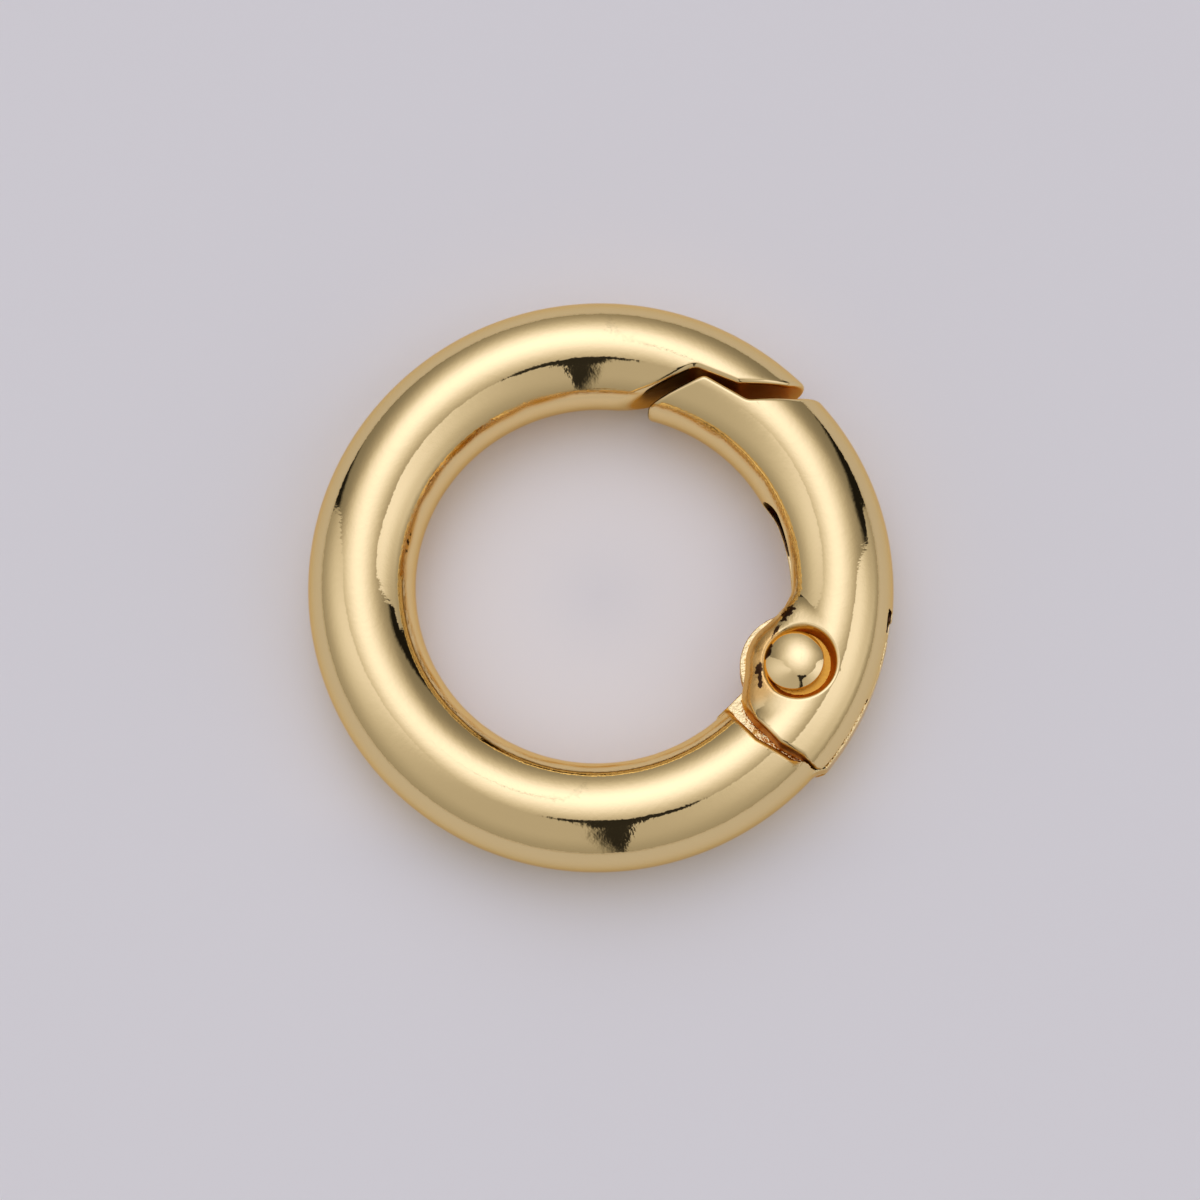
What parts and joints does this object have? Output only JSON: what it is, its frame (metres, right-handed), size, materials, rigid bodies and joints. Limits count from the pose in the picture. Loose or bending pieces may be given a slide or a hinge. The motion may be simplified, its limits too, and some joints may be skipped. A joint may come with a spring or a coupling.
{
  "type": "spring gate ring",
  "caption": "Round metal ring with a sprung hinged gate that opens inwards, closed by a zigzag joint, for linking chains, charms and straps",
  "frame": {"origin": "centre of the closed ring, halfway up its thickness", "axes": "+Z is the ring's axis, the rivet stands along Z, +X points from the centre to the gate's side"},
  "size_m": [0.0202, 0.02, 0.0038],
  "materials": {
    "gold": "polished light gold plating",
    "steel": "drawn spring wire"
  },
  "bodies": {
    "ring": {"ring_body": "gold"},
    "gate": {"gate": "gold", "hinge_rivet": "gold", "gate_spring": "steel"}
  },
  "joints": [
    {"name": "gate_hinge", "type": "hinge", "parent": "ring", "child": "gate", "pos_m": [0.0067, -0.00301, 0], "axis": [0, 0, 1], "range_deg": [0, 35], "stiffness_Nm_per_rad": 0.02, "springref_deg": -20.05}
  ]
}
